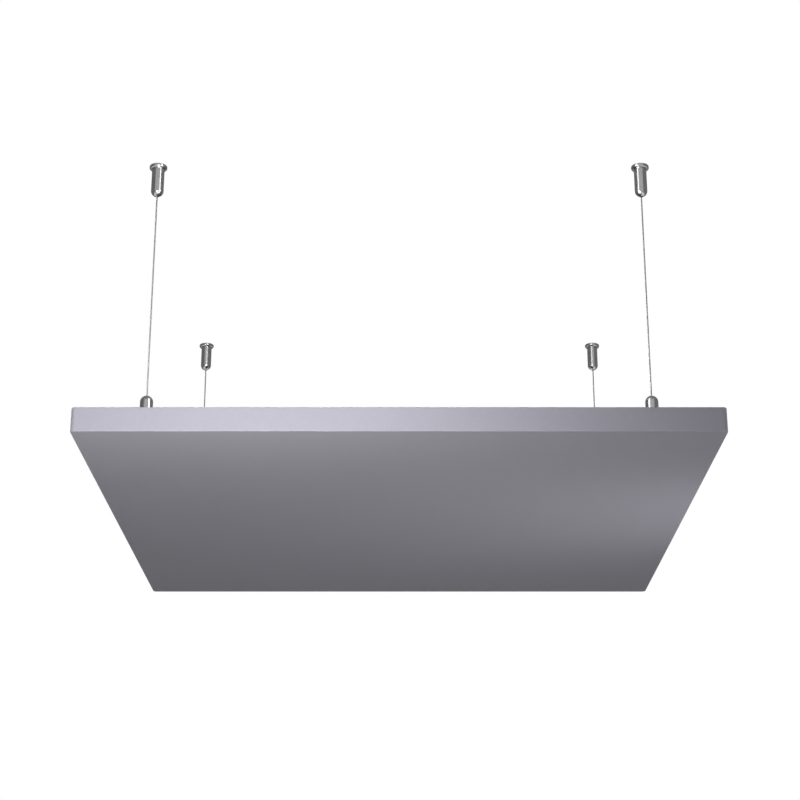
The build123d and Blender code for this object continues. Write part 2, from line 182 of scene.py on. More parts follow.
class Graph:
    """A material's node tree with short calls for the nodes that repeat."""

    def __init__(self, name):
        self.material = bpy.data.materials.new(name)
        self.material.use_nodes = True
        self.tree = self.material.node_tree
        self.shader = self.tree.nodes["Principled BSDF"]

    def node(self, kind, inputs=None, **settings):
        """A node with its settings, and its inputs set to numbers or linked to sockets."""
        made = self.tree.nodes.new(kind)
        for key, value in settings.items():
            setattr(made, key, value)
        for key, value in (inputs or {}).items():
            self.feed(made.inputs[key], value)
        return made

    def feed(self, socket, value):
        if isinstance(value, bpy.types.NodeSocket):
            self.tree.links.new(value, socket)
        else:
            socket.default_value = value

    def math(self, operation, first, second=0.0):
        made = self.node("ShaderNodeMath", {0: first, 1: second}, operation=operation)
        return made.outputs[0]

    def scaled(self, value, gain, offset):
        """Value times gain plus offset."""
        inputs = {0: value, 1: gain, 2: offset}
        return self.node("ShaderNodeMath", inputs, operation="MULTIPLY_ADD").outputs[0]

    def weighed(self, first, first_share, second, second_share):
        """The sum of two values, each times its share."""
        first_part = self.math("MULTIPLY", first, first_share)
        second_part = self.math("MULTIPLY", second, second_share)
        return self.math("ADD", first_part, second_part)

    def squares(self, first, second):
        """The sum of two values' squares."""
        first_square = self.math("MULTIPLY", first, first)
        second_square = self.math("MULTIPLY", second, second)
        return self.math("ADD", first_square, second_square)

    def between(self, value, low, high):
        """Value from 0 to 1 brought to low to high."""
        made = self.node("ShaderNodeMapRange", {"Value": value, "To Min": low, "To Max": high})
        return made.outputs[0]

    def noise(self, vector, scale, detail=2.0, roughness=0.5):
        inputs = {"Vector": vector, "Scale": scale, "Detail": detail, "Roughness": roughness}
        return self.node("ShaderNodeTexNoise", inputs).outputs[0]

    def line_noise(self, value, scale, detail=2.0):
        inputs = {"W": value, "Scale": scale, "Detail": detail}
        return self.node("ShaderNodeTexNoise", inputs, noise_dimensions="1D").outputs[0]

    def parts(self, vector):
        """The X, Y and Z of a vector."""
        return self.node("ShaderNodeSeparateXYZ", {0: vector}).outputs

    def joined(self, x, y, z=0.0):
        return self.node("ShaderNodeCombineXYZ", {0: x, 1: y, 2: z}).outputs[0]

    def place(self):
        """The point in the row frame, since every piece sits at the origin."""
        return self.node("ShaderNodeTexCoord").outputs["Object"]

    def mix(self, share, first, second, blend_type="MIX"):
        """Two colours mixed by share."""
        made = self.node("ShaderNodeMix", data_type="RGBA", blend_type=blend_type)
        self.feed(made.inputs["Factor"], share)
        self.feed(made.inputs["A"], first if not isinstance(first, tuple) else (*first, 1))
        self.feed(made.inputs["B"], second if not isinstance(second, tuple) else (*second, 1))
        return made.outputs["Result"]

    def ramp(self, value, stops):
        """Value turned into a colour by a list of (position, colour)."""
        made = self.node("ShaderNodeValToRGB", {0: value})
        elements = made.color_ramp.elements
        while len(elements) < len(stops):
            elements.new(0.5)
        for element, (position, colour) in zip(elements, stops):
            element.position = position
            element.color = (*colour, 1)
        return made.outputs[0]

    def bump(self, height, distance, strength=1.0, normal=None):
        inputs = {"Height": height, "Distance": distance, "Strength": strength}
        if normal is not None:
            inputs["Normal"] = normal
        return self.node("ShaderNodeBump", inputs).outputs[0]

    def finish(self, constants, colour=None, roughness=None, normal=None):
        """Sets the shader's constant sockets, links its textures and returns the material."""
        for key, value in constants.items():
            self.shader.inputs[key].default_value = value
        for key, value in (("Base Color", colour), ("Roughness", roughness), ("Normal", normal)):
            if value is not None:
                self.feed(self.shader.inputs[key], value)
        return self.material


def weave_height(graph, across, along):
    """Plain weave: the upper thread's crown at each point, from 0 to 1."""

    def threads(side, run, phase):
        column = graph.math("FLOOR", side)
        arch = graph.math("ABSOLUTE", graph.math("SINE", graph.math("MULTIPLY", side, math.pi)))
        crown = graph.math("POWER", arch, 0.6)
        place = graph.math("ADD", graph.math("ADD", run, column), phase)
        turn = graph.math("MULTIPLY", place, math.pi)
        wave = graph.scaled(graph.math("SINE", turn), 0.5, 0.5)
        return graph.math("MULTIPLY", crown, wave)

    return graph.math("MAXIMUM", threads(across, along, 0.0), threads(along, across, 1.0))


def cover_cloth():
    """Tight wool-blend cloth: plain weave, melange threads and a soft nap, with painted shade in the
    weave's hollows and a painted highlight on its thread crowns.
    """
    graph = Graph("cover_cloth")
    cloth = graph.node("ShaderNodeAttribute", attribute_name="cloth").outputs["Vector"]
    u, v, _ = graph.parts(cloth)
    across = graph.math("MULTIPLY", u, 1 / THREAD_PITCH)
    along = graph.math("MULTIPLY", v, 1 / THREAD_PITCH)
    weave = weave_height(graph, across, along)
    warp_tone = graph.noise(graph.joined(across, graph.math("MULTIPLY", along, 0.07)), 1.1, 3)
    weft_tone = graph.noise(graph.joined(graph.math("MULTIPLY", across, 0.07), along), 1.1, 3)
    nap = graph.noise(cloth, 2600, 3, 0.6)
    blotch = graph.noise(cloth, 9, 3, 0.55)
    threads = graph.math("MULTIPLY", graph.math("ADD", warp_tone, weft_tone), 0.5)
    tone = graph.scaled(threads, 0.28, 0.86)
    # Painted shade and highlight: the colour darkens in the hollows between threads and lightens a
    # little on the thread crowns.
    crown = graph.between(weave, 0.89, 1.04)
    cloud = graph.between(blotch, 0.965, 1.035)
    level = graph.math("MULTIPLY", graph.math("MULTIPLY", tone, crown), cloud)
    shade = graph.joined(level, level, level)
    colour = graph.mix(1.0, COVER_COLOUR, shade, "MULTIPLY")
    flecked = graph.mix(graph.between(nap, 0.0, 0.12), colour, (0.6, 0.6, 0.64))
    height = graph.weighed(weave, 0.8, nap, 0.35)
    normal = graph.bump(height, 0.00013, 0.8)
    roughness = graph.between(nap, 0.86, 0.98)
    constants = {"Sheen Weight": 0.22, "Sheen Roughness": 0.45, "Specular IOR Level": 0.25}
    return graph.finish(constants, flecked, roughness, normal)


def needle_felt(name, dark, light, scale):
    """Felted fibres: fine crossing hairs over a soft, blotchy ground."""
    graph = Graph(name)
    place = graph.place()
    swirl = {"Distortion": 26.0, "Detail": 4.0, "Detail Scale": 2.2}
    waves = {"Vector": place, "Scale": scale * 0.4, **swirl}
    hairs = graph.node("ShaderNodeTexWave", waves, wave_type="BANDS").outputs["Fac"]
    fibre = graph.noise(place, scale, 4, 0.7)
    cloud = graph.noise(place, 14, 3, 0.5)
    mixed = graph.weighed(hairs, 0.4, fibre, 0.6)
    tone = graph.weighed(mixed, 0.8, cloud, 0.2)
    colour = graph.ramp(tone, [(0.25, dark), (0.75, light)])
    normal = graph.bump(mixed, 0.0006, 0.8)
    roughness = graph.between(fibre, 0.88, 1.0)
    constants = {"Sheen Weight": 0.3, "Sheen Roughness": 0.6, "Specular IOR Level": 0.2}
    return graph.finish(constants, colour, roughness, normal)


def nickel():
    """Turned brass, satin nickel plated: fine turning rings, a little handling haze."""
    graph = Graph("nickel")
    x, y, z = graph.parts(graph.place())
    aside = graph.math("SUBTRACT", graph.math("ABSOLUTE", x), FIXING)
    back = graph.math("SUBTRACT", graph.math("ABSOLUTE", y), FIXING)
    ring = graph.math("ADD", graph.math("SQRT", graph.squares(aside, back)), z)
    fine = graph.line_noise(ring, 9000, 4)
    broad = graph.line_noise(ring, 900, 2)
    haze = graph.noise(graph.place(), 260, 4, 0.6)
    rings = graph.weighed(fine, 0.7, broad, 0.3)
    colour = graph.ramp(haze, [(0.3, (0.50, 0.50, 0.50)), (0.7, (0.59, 0.59, 0.59))])
    roughness = graph.math("ADD", graph.between(haze, 0.15, 0.25), graph.between(fine, 0.0, 0.06))
    normal = graph.bump(rings, 0.00002, 0.35)
    return graph.finish({"Metallic": 1.0}, colour, roughness, normal)


def metal(name, dark, light, roughnesses, scale, depth):
    """A plain metal with a fine grain in its colour, gloss and surface."""
    graph = Graph(name)
    place = graph.place()
    grain = graph.noise(place, scale, 4, 0.6)
    cloud = graph.noise(place, scale / 8, 3, 0.5)
    colour = graph.ramp(cloud, [(0.3, dark), (0.7, light)])
    roughness = graph.between(grain, *roughnesses)
    normal = graph.bump(grain, depth, 0.6)
    return graph.finish({"Metallic": 1.0}, colour, roughness, normal)


def nylon():
    """Natural nylon: milky, faintly yellow, with a soft moulded skin."""
    graph = Graph("nylon")
    skin = graph.noise(graph.place(), 1400, 3, 0.5)
    colour = graph.ramp(skin, [(0.3, (0.74, 0.72, 0.64)), (0.7, (0.82, 0.80, 0.73))])
    normal = graph.bump(skin, 0.00003, 0.4)
    constants = {"Subsurface Weight": 0.15, "Subsurface Scale": 0.002}
    return graph.finish(constants, colour, graph.between(skin, 0.3, 0.45), normal)


def spruce(name, run_axis):
    """Planed spruce: growth rings cut lengthwise, fine fibre and a few darker streaks."""
    graph = Graph(name)
    x, y, z = graph.parts(graph.place())
    along, across = (x, y) if run_axis == "x" else (y, x)
    sway = graph.noise(graph.joined(graph.math("MULTIPLY", along, 3.0), across, z), 3.5, 2)
    side = graph.math("ADD", across, graph.math("MULTIPLY", sway, 0.012))
    depth = graph.math("SUBTRACT", z, -0.36)
    from_pith = graph.math("SQRT", graph.squares(side, depth))
    ring = graph.math("FRACT", graph.math("MULTIPLY", from_pith, 420))
    stretched = graph.joined(graph.math("MULTIPLY", along, 0.06), across, z)
    fibre = graph.noise(stretched, 2600, 4, 0.6)
    streak = graph.noise(stretched, 260, 3, 0.5)
    stops = [
        (0.0, (0.66, 0.47, 0.28)),
        (0.55, (0.62, 0.42, 0.235)),
        (0.93, (0.42, 0.24, 0.11)),
        (1.0, (0.64, 0.45, 0.26)),
    ]
    rings = graph.ramp(ring, stops)
    colour = graph.mix(graph.between(streak, 0.0, 0.35), rings, (0.50, 0.31, 0.16))
    normal = graph.bump(graph.weighed(fibre, 0.7, ring, 0.3), 0.00012, 0.5)
    return graph.finish({"Specular IOR Level": 0.35}, colour, graph.between(fibre, 0.55, 0.8), normal)


def absorber_wool():
    """Pressed mineral wool: straw-coloured fibres in loose layers."""
    graph = Graph("absorber_wool")
    place = graph.place()
    x, y, z = graph.parts(place)
    layers = graph.noise(graph.joined(x, y, graph.math("MULTIPLY", z, 6.0)), 320, 4, 0.7)
    fibre = graph.noise(place, 1800, 4, 0.7)
    tone = graph.weighed(layers, 0.6, fibre, 0.4)
    colour = graph.ramp(tone, [(0.25, (0.40, 0.33, 0.14)), (0.75, (0.62, 0.55, 0.29))])
    normal = graph.bump(tone, 0.0012, 0.8)
    constants = {"Sheen Weight": 0.15, "Specular IOR Level": 0.2}
    return graph.finish(constants, colour, graph.between(fibre, 0.85, 1.0), normal)


# Cloth and slabs: rings of points round a square, with a grid inside the first and the last ring


def side_shares(stops=()):
    """Places along a side as shares of its half length, from -1 to 1."""
    shares = list(np.linspace(-1, 1, SIDE_STEPS + 1))
    for stop in stops:
        shares.remove(min(shares, key=lambda share: abs(share - stop)))
        shares.append(stop)
    return np.array(sorted(shares))


def cover_shares():
    """Places along a side of the cloth, closer together near the corners, where it is folded."""
    near = [1 - stop for stop in CORNER_STOPS]
    return np.array(sorted([*side_shares(), *near, *[-share for share in near]]))


def ring_points(half, corner_radius, inset, shares):
    """One ring's points: x, y, the side's number, the distance from the nearer corner along the
    side, and the corner step, which is 0 on the sides."""
    radius = max(corner_radius - inset, 0.0)
    reach = half - max(corner_radius, inset)
    rows = []
    for side in range(4):
        turn = side * math.pi / 2
        along = np.array([math.cos(turn), math.sin(turn)])
        out = np.array([math.sin(turn), -math.cos(turn)])
        for share in shares:
            point = along * share * reach + out * (half - inset)
            rows.append((*point, side, half - abs(share) * reach - inset, 0))
        corner = (along + out) * reach
        for step in range(1, CORNER_STEPS):
            angle = step / CORNER_STEPS * math.pi / 2
            point = corner + radius * (out * math.cos(angle) + along * math.sin(angle))
            rows.append((*point, side, 0.0, step))
    return np.array(rows)


def slab_faces(ring_count, shares, skipped=()):
    """Faces of the rings and of the two grids, whose outer points are the first and last rings'.
    The grid's inner points follow the rings' in the list of points."""
    count = len(shares)
    per_side = count + CORNER_STEPS - 1
    around = 4 * per_side
    faces = []
    for row in range(ring_count - 1):
        for i in range(around):
            j = (i + 1) % around
            low, high = row * around, (row + 1) * around
            faces.append((low + i, low + j, high + j, high + i))

    def grid_index(row, i, j, base):
        """The point of column i and row j, which lies on the ring at the grid's rim."""
        last = count - 1
        if j == 0:
            return row * around + i
        if i == last:
            return row * around + per_side + j
        if j == last:
            return row * around + 2 * per_side + last - i
        if i == 0:
            return row * around + 3 * per_side + last - j
        return base + (j - 1) * (count - 2) + i - 1

    first_base = ring_count * around
    last_base = first_base + (count - 2) ** 2
    for j in range(count - 1):
        for i in range(count - 1):
            if (i, j) in skipped:
                continue
            corners = ((i, j), (i + 1, j), (i + 1, j + 1), (i, j + 1))
            lower = [grid_index(0, a, b, first_base) for a, b in corners]
            upper = [grid_index(ring_count - 1, a, b, last_base) for a, b in corners]
            faces.append(tuple(reversed(lower)))
            faces.append(tuple(upper))
    return faces


def grid_points(reach, height, shares):
    """The inner points of a grid, row by row."""
    inner = shares[1:-1] * reach
    return [(x, y, height) for y in inner for x in inner]


def merge_close(piece):
    """Joins the points that fell together at sharp corners."""
    work = bmesh.new()
    work.from_mesh(piece.data)
    bmesh.ops.remove_doubles(work, verts=work.verts, dist=0.000004)
    bmesh.ops.recalc_face_normals(work, faces=work.faces)
    work.to_mesh(piece.data)
    work.free()


def edge_turn(inset, height, radius, start_deg, end_deg, steps):
    """Rows of (inset, height) round an edge: the turn's centre is at inset, height."""
    rows = []
    for step in range(steps + 1):
        angle = math.radians(start_deg + (end_deg - start_deg) * step / steps)
        rows.append((inset - radius * math.sin(angle), height - radius * math.cos(angle)))
    return rows


def cover_rows():
    """The cloth's section from the face outwards, up the side, over the back and inside again."""
    rows = [(GRID_INSET, PANEL_BOTTOM), (0.003, PANEL_BOTTOM), (0.0012, PANEL_BOTTOM)]
    rows += edge_turn(EDGE_RADIUS, PANEL_BOTTOM + EDGE_RADIUS, EDGE_RADIUS, 0, 90, 4)
    side_low = PANEL_BOTTOM + EDGE_RADIUS
    side_high = PANEL_TOP - EDGE_RADIUS
    side_shares_up = (0.1, 0.3, 0.5, 0.7, 0.9)
    rows += [(0.0, side_low + (side_high - side_low) * share) for share in side_shares_up]
    rows += edge_turn(EDGE_RADIUS, PANEL_TOP - EDGE_RADIUS, EDGE_RADIUS, 90, 180, 4)
    back = [0.0012, 0.0024, 0.004, 0.006, 0.009, 0.011, 0.013, 0.015, 0.018, 0.022, 0.027, 0.031]
    rows += [(inset, PANEL_TOP) for inset in back]
    raw_edge = COVER_RETURN - 0.0003
    rows += [(raw_edge, PANEL_TOP), (COVER_RETURN, PANEL_TOP - 0.0002)]
    rows += [(COVER_RETURN, FELT_TOP + 0.0002), (raw_edge, FELT_TOP)]
    rows += [(inset, FELT_TOP) for inset in (0.024, 0.010, COVER_THICKNESS)]
    inside_height = FELT_TOP - FLEECE_BOTTOM
    rows += [(COVER_THICKNESS, FLEECE_BOTTOM + inside_height * share) for share in (0.8, 0.2, 0)]
    rows += [(GRID_INSET, FLEECE_BOTTOM)]
    return rows


def cloth_run(rows):
    """How far each row lies from the panel's edge along the cloth: less than 0 on the face."""
    runs = [-rows[0][0]]
    for before, after in zip(rows, rows[1:]):
        runs.append(runs[-1] + math.hypot(after[0] - before[0], after[1] - before[1]))
    return runs


def staple_places():
    pitch = 2 * (PANEL_HALF - STAPLE_END_MARGIN) / (STAPLES_PER_SIDE - 1)
    return [STAPLE_END_MARGIN - PANEL_HALF + index * pitch for index in range(STAPLES_PER_SIDE)]


def corner_hold(x, y):
    """How firmly a corner's staple holds the cloth down: 1 under its crown and 0 away from it."""
    middle = PANEL_HALF - STAPLE_FROM_EDGE
    along = (abs(x) + abs(y) - 2 * middle) / math.sqrt(2)
    across = np.maximum(abs(abs(x) - abs(y)) / math.sqrt(2) - STAPLE_REACH, 0)
    return np.exp(-(along**2 + across**2) / (2 * CORNER_HOLD**2))


def back_lift(ring, inset):
    """How far the turned-in cloth stands up: puffed between its staples, folded at the corners."""
    along = PANEL_HALF - ring[:, 3] - inset
    held = np.zeros(len(ring))
    for place in staple_places():
        spread = (along - abs(place)) ** 2 + (inset - STAPLE_FROM_EDGE) ** 2 * 0.6
        held = np.maximum(held, np.exp(-spread / (2 * STAPLE_HOLD**2)))
    puff = STAPLE_PUFF * smooth_step((inset - 0.0007) / 0.010) * (1 - held)
    ease = smooth_step((inset - FOLD_START) / FOLD_RISE)
    is_over = ring[:, 2] % 2 == 1
    reach = np.where(is_over, FOLD_REACH, FOLD_REACH * 0.6)
    height = np.where(is_over, FOLD_LIFT, FOLD_LIFT * FOLD_UNDER_SHARE)
    fold = height * ease * (1 - smooth_step((ring[:, 3] - 0.003) / reach))
    free = 1 - corner_hold(ring[:, 0], ring[:, 1])
    return (puff * smooth_step(ring[:, 3] / 0.02) + fold) * free


def fold_corners(ring, lift, inset):
    """Rolls the cloth's folded edge over the mitre: the left and right returns lie on top."""
    ease = float(smooth_step((inset - FOLD_START) / FOLD_RISE))
    under = FOLD_LIFT * FOLD_UNDER_SHARE * ease
    over = FOLD_LIFT * ease
    free = 1 - corner_hold(ring[:, 0], ring[:, 1])
    for index in np.nonzero(ring[:, 4])[0]:
        side = int(ring[index, 2])
        share = ring[index, 4] / CORNER_STEPS
        if side % 2 == 1:
            share = 1 - share
        angle = math.radians(-80 + 160 * share)
        turn = side * math.pi / 2 + (math.pi * 1.25 if side % 2 == 0 else math.pi * 0.25)
        roll = FOLD_ROLL * ease * math.cos(angle) * free[index]
        ring[index, 0] += roll * math.cos(turn)
        ring[index, 1] += roll * math.sin(turn)
        lift[index] = (under + (over - under) * (0.5 + 0.5 * math.sin(angle))) * free[index]


def wavy(values, phase):
    """A slow uneven wave from -1 to 1 along a cut edge."""
    return (
        np.sin(values * 61 + phase) * 0.45
        + np.sin(values * 143 + 2.1 * phase) * 0.33
        + np.sin(values * 317 + 3.7 * phase) * 0.22
    )


def cloth_places(ring, run):
    """Where each point of a ring lies on the cloth before it was folded round the panel."""
    turn = ring[:, 2] * math.pi / 2
    out_x = np.round(np.sin(turn))
    out_y = np.round(-np.cos(turn))
    away = PANEL_HALF + run
    places = np.zeros((len(ring), 3))
    places[:, 0] = np.where(out_x != 0, out_x * away, ring[:, 0])
    places[:, 1] = np.where(out_y != 0, out_y * away, ring[:, 1])
    centre = PANEL_HALF - CORNER_RADIUS
    reach = CORNER_RADIUS + run
    for index in np.nonzero(ring[:, 4])[0]:
        angle = turn[index] + ring[index, 4] / CORNER_STEPS * math.pi / 2
        corner = turn[index] + math.pi / 4
        places[index, 0] = math.copysign(centre, math.sin(corner)) + reach * math.sin(angle)
        places[index, 1] = -math.copysign(centre, math.cos(corner)) - reach * math.cos(angle)
    return places


def face_swell(x, y):
    """The stretched face's faint unevenness over the fleece, less than a tenth of a millimetre."""
    edge = smooth_step((PANEL_HALF - 0.012 - np.maximum(abs(x), abs(y))) / 0.05)
    waves = (
        np.sin(x * 31 + y * 17 + 0.6) * 0.4
        + np.sin(x * 53 - y * 41 + 2.2) * 0.3
        + np.sin(x * 13 + y * 67 + 4.1) * 0.3
    )
    return FACE_SWELL * edge * waves


def fabric_cover(material):
    """The cloth: stretched over the face and sides, turned in and stapled on the back."""
    rows = cover_rows()
    runs = cloth_run(rows)
    shares = cover_shares()
    points = []
    places = []
    back_start = next(i for i, (inset, height) in enumerate(rows) if height == PANEL_TOP)
    back_end = next(i for i, (inset, height) in enumerate(rows) if inset == COVER_RETURN) + 2
    for index, (inset, height) in enumerate(rows):
        ring = ring_points(PANEL_HALF, CORNER_RADIUS, inset, shares)
        lift = np.zeros(len(ring))
        if back_start < index < back_end:
            lift = back_lift(ring, inset)
            if inset > CORNER_RADIUS:
                fold_corners(ring, lift, inset)
            lift = lift * (1.0 if height > FELT_TOP + COVER_THICKNESS / 2 else 0.35)
            ring = cut_edge(ring, inset)
        if 0 < index < back_start and inset == 0.0:
            ring = side_swell(ring, height)
        points.append(np.column_stack([ring[:, 0], ring[:, 1], height + lift]))
        places.append(cloth_places(ring, runs[index]))
    reach = PANEL_HALF - GRID_INSET
    for height in (PANEL_BOTTOM, FLEECE_BOTTOM):
        grid = np.array(grid_points(reach, height, shares))
        grid[:, 2] -= face_swell(grid[:, 0], grid[:, 1])
        points.append(grid)
        places.append(grid * (1, 1, 0))
    piece = make_piece("cover", np.concatenate(points), slab_faces(len(rows), shares), material)
    attribute = piece.data.attributes.new("cloth", "FLOAT_VECTOR", "POINT")
    attribute.data.foreach_set("vector", np.concatenate(places).astype(np.float32).ravel())
    merge_close(piece)
    return piece


def cut_edge(ring, inset):
    """Moves the turned-in cloth's last rows in and out a little, as a hand-cut edge runs."""
    share = float(smooth_step((inset - 0.022) / 0.013))
    along = np.where(ring[:, 2] % 2 == 0, ring[:, 0], ring[:, 1])
    shift = CUT_WAVE * share * wavy(along, 1.0) * smooth_step((ring[:, 3] - 0.001) / 0.02)
    turn = ring[:, 2] * math.pi / 2
    ring[:, 0] -= np.sin(turn) * shift
    ring[:, 1] += np.cos(turn) * shift
    return ring


def side_swell(ring, height):
    """The cloth's faint ease over the rails' outer faces."""
    along = np.where(ring[:, 2] % 2 == 0, ring[:, 0], ring[:, 1])
    middle = (PANEL_BOTTOM + PANEL_TOP) / 2
    hold = 1 - ((height - middle) / (PANEL_TOP - middle)) ** 2
    shift = SIDE_SWELL * hold * wavy(along * 0.5, 2.0) * smooth_step(ring[:, 3] / 0.03)
    turn = ring[:, 2] * math.pi / 2
    ring[:, 0] += np.sin(turn) * shift
    ring[:, 1] -= np.cos(turn) * shift
    return ring


def felt_cells(shares, reach):
    """The grid cells that hold the stud holes, as (column, row)."""
    low = int(np.argmin(abs(shares + (FIXING + HOLE_CELL_HALF) / reach)))
    high = int(np.argmin(abs(shares - (FIXING - HOLE_CELL_HALF) / reach)))
    return [(i, j) for i in (low, high) for j in (low, high)]


def back_felt(material):
    """Needle felt that closes the back, bored for the lower fittings' studs."""
    reach = INNER_HALF - GRID_INSET
    ends = (-HOLE_CELL_HALF, HOLE_CELL_HALF)
    stops = [sign * (FIXING + end) / reach for sign in (-1, 1) for end in ends]
    shares = side_shares(stops)
    rows = [(GRID_INSET, FELT_BOTTOM), (0.0004, FELT_BOTTOM), (0.0, FELT_BOTTOM + 0.0002)]
    rows += [(0.0, FELT_TOP - 0.0002), (0.0004, FELT_TOP), (GRID_INSET, FELT_TOP)]
    points = [ring_slab_row(INNER_HALF, INNER_CORNER_RADIUS, row, shares) for row in rows]
    for height in (FELT_BOTTOM, FELT_TOP):
        points.append(np.array(grid_points(reach, height, shares)))
    top = points[-1]
    hidden = smooth_step((PANEL_HALF - 0.04 - np.maximum(abs(top[:, 0]), abs(top[:, 1]))) / 0.02)
    waves = 0.5 + 0.5 * wavy(top[:, 0] + 1.7 * top[:, 1], 0.4)
    top[:, 2] -= FELT_SWELL * hidden * waves * clear_of_fixings(top)
    cells = felt_cells(shares, reach)
    faces = slab_faces(len(rows), shares, cells)
    points = np.concatenate(points)
    faces, points = bore_cells(faces, points, shares, reach, cells)
    piece = make_piece("back_cloth", points, faces, material)
    merge_close(piece)
    return piece


def ring_slab_row(half, corner_radius, row, shares):
    inset, height = row
    ring = ring_points(half, corner_radius, inset, shares)
    return np.column_stack([ring[:, 0], ring[:, 1], np.full(len(ring), height)])


def clear_of_fixings(points):
    """0 under the lower fittings' flanges, and 1 away from them."""
    distance = np.hypot(abs(points[:, 0]) - FIXING, abs(points[:, 1]) - FIXING)
    return smooth_step((distance - 0.011) / 0.01)


def bore_cells(faces, points, shares, reach, cells):
    """Fills each skipped cell, above and below, with faces that leave a round hole."""
    points = list(map(tuple, points))
    for i, j in cells:
        xs = (shares[i] * reach, shares[i + 1] * reach)
        ys = (shares[j] * reach, shares[j + 1] * reach)
        centre = (sum(xs) / 2, sum(ys) / 2)
        corners = [(xs[1], ys[1]), (xs[0], ys[1]), (xs[0], ys[0]), (xs[1], ys[0])]
        levels = []
        for height in (FELT_BOTTOM, FELT_TOP):
            start = len(points)
            points += [(x, y, height) for x, y in corners]
            for step in range(STUD_HOLE_SIDES):
                angle = math.pi / 4 + step * 2 * math.pi / STUD_HOLE_SIDES
                x = centre[0] + STUD_HOLE_RADIUS * math.cos(angle)
                y = centre[1] + STUD_HOLE_RADIUS * math.sin(angle)
                points.append((x, y, height))
            levels.append(start)
            quarter = STUD_HOLE_SIDES // 4
            for side in range(4):
                steps = range(side * quarter, (side + 1) * quarter + 1)
                arc = [start + 4 + step % STUD_HOLE_SIDES for step in steps]
                faces.append((start + side, start + (side + 1) % 4, *reversed(arc)))
        for step in range(STUD_HOLE_SIDES):
            after = (step + 1) % STUD_HOLE_SIDES
            low, high = levels[0] + 4, levels[1] + 4
            faces.append((low + step, low + after, high + after, high + step))
    return faces, points


def face_fleece(material):
    """The soft layer under the cloth, with its cut edge eased."""
    shares = side_shares()[::4]
    rows = [(GRID_INSET, FLEECE_BOTTOM), (0.001, FLEECE_BOTTOM)]
    rows += edge_turn(0.0006, FLEECE_BOTTOM + 0.0006, 0.0006, 0, 90, 3)
    rows += [(0.0, FRAME_BOTTOM - 0.0003), (0.0004, FRAME_BOTTOM), (GRID_INSET, FRAME_BOTTOM)]
    points = [ring_slab_row(INNER_HALF, INNER_CORNER_RADIUS, row, shares) for row in rows]
    reach = INNER_HALF - GRID_INSET
    for height in (FLEECE_BOTTOM, FRAME_BOTTOM):
        points.append(np.array(grid_points(reach, height, shares)))
    piece = make_piece("fleece", np.concatenate(points), slab_faces(len(rows), shares), material)
    merge_close(piece)
    return piece


def absorber(material):
    """The absorber board: notched round the corner blocks, its cut edges slightly broken."""
    low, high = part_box("absorber_core")
    block_low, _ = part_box("corner_block_front_right")
    half = high.x
    notch = block_low.x - CORE_GAP
    chamfer_end = notch + BLOCK_CHAMFER
    quarter = [(half, -notch), (half, notch), (chamfer_end, notch), (notch, chamfer_end), (notch, half)]
    outline = []
    for turn in range(4):
        angle = turn * math.pi / 2
        cosine, sine = math.cos(angle), math.sin(angle)
        outline += [(x * cosine - y * sine, x * sine + y * cosine) for x, y in quarter]
    work = bmesh.new()
    ring = [work.verts.new((x, y, low.z)) for x, y in outline]
    bottom = work.faces.new(ring)
    made = bmesh.ops.extrude_face_region(work, geom=[bottom])
    lifted = [v for v in made["geom"] if isinstance(v, bmesh.types.BMVert)]
    bmesh.ops.translate(work, verts=lifted, vec=(0, 0, high.z - low.z))
    bmesh.ops.remove_doubles(work, verts=work.verts, dist=0.00001)
    bmesh.ops.recalc_face_normals(work, faces=work.faces)
    bmesh.ops.bevel(work, geom=work.edges, offset=0.0008, segments=2, affect="EDGES", profile=0.6)
    mesh = bpy.data.meshes.new("absorber")
    work.to_mesh(mesh)
    work.free()
    mesh.materials.append(material)
    piece = bpy.data.objects.new("absorber", mesh)
    bpy.context.scene.collection.objects.link(piece)
    return piece


# Wire rope


def spline_points(points):
    """Points on the smooth line that a route's points steer."""
    curve = bpy.data.curves.new("route", "CURVE")
    curve.dimensions = "3D"
    curve.resolution_u = 24
    spline = curve.splines.new("NURBS")
    spline.points.add(len(points) - 1)
    for target, point in zip(spline.points, points):
        target.co = (*point, 1)
    spline.order_u = 3
    spline.use_endpoint_u = True
    holder = bpy.data.objects.new("route", curve)
    bpy.context.scene.collection.objects.link(holder)
    line = bpy.data.meshes.new_from_object(holder)
    found = np.array([v.co for v in line.vertices], float)
    bpy.data.objects.remove(holder)
    bpy.data.curves.remove(curve)
    bpy.data.meshes.remove(line)
    return found


def evenly_spaced(line, spacing):
    """Points along a line, about spacing apart."""
    steps = np.linalg.norm(np.diff(line, axis=0), axis=1)
    run = np.concatenate([[0], np.cumsum(steps)])
    stops = np.linspace(0, run[-1], max(2, round(run[-1] / spacing) + 1))
    return np.column_stack([np.interp(stops, run, line[:, axis]) for axis in range(3)]), stops


def frames_along(line):
    """Two directions square to the line at each of its points, with no twist from one to the next."""
    tangents = np.gradient(line, axis=0)
    tangents /= np.linalg.norm(tangents, axis=1)[:, None]
    start = np.array([1.0, 0, 0]) if abs(tangents[0][0]) < 0.9 else np.array([0, 1.0, 0])
    normal = start - tangents[0] * (start @ tangents[0])
    firsts = []
    for tangent in tangents:
        normal = normal - tangent * (normal @ tangent)
        normal /= np.linalg.norm(normal)
        firsts.append(normal)
    firsts = np.array(firsts)
    return firsts, np.cross(tangents, firsts)


